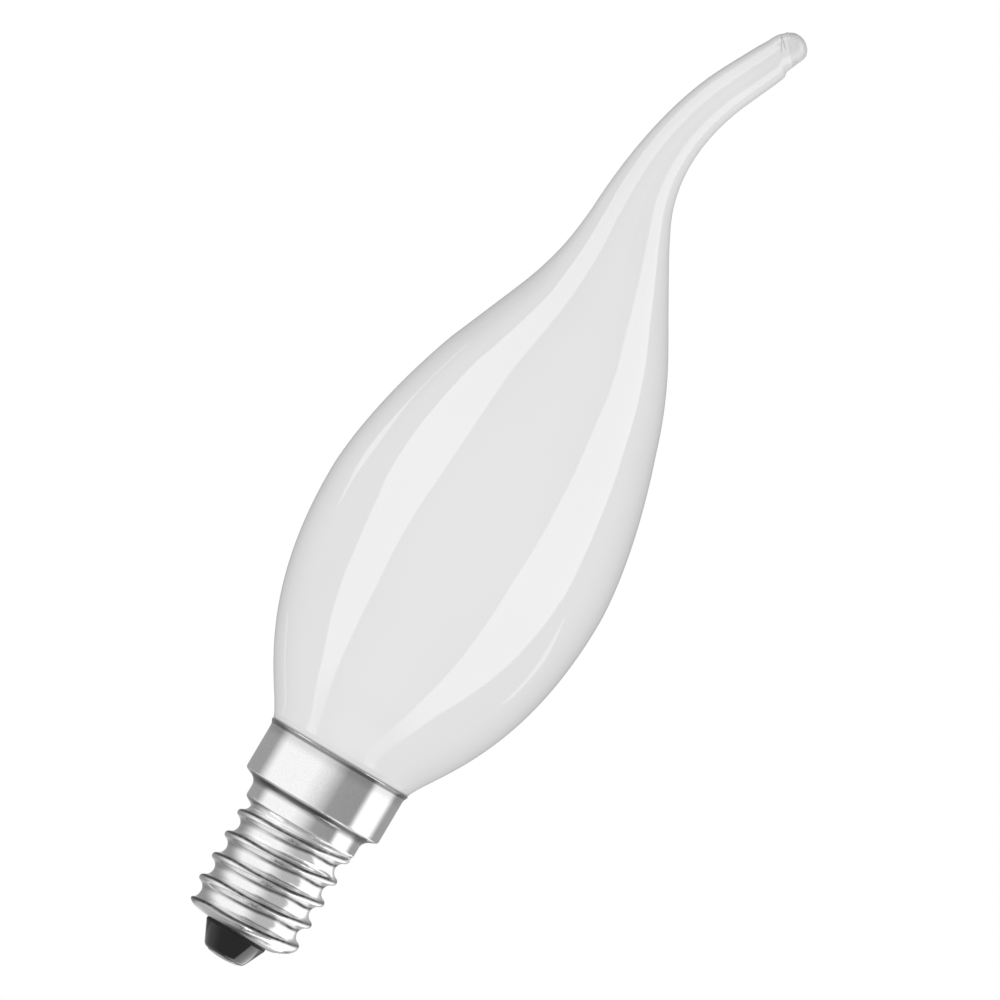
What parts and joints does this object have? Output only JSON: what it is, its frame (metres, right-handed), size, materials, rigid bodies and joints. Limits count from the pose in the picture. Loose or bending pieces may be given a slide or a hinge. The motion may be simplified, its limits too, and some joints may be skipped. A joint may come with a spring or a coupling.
{
  "type": "candle bulb",
  "caption": "Bent-tip candle bulb with a white opal glass drawn out to a curved tail, on a bright metal screw cap of the small Edison size with a black insulator and a centre contact.",
  "frame": {"origin": "lowest point of the centre contact, on the lamp's axis, where the lamp meets its lamp holder", "axes": "+Z along the lamp's axis from the cap to the glass, with the bent tail ending towards +X"},
  "size_m": [0.035, 0.035, 0.123],
  "materials": {
    "opal_glass": "glossy white opal, not seen through",
    "cap_metal": "bright satin, pressed and rolled",
    "insulator_black": "glossy black moulding",
    "contact_metal": "bright tinned"
  },
  "bodies": {
    "root": {"glass_bulb": "opal_glass", "screw_cap": "cap_metal", "cap_insulator": "insulator_black", "centre_contact": "contact_metal"}
  },
  "joints": []
}
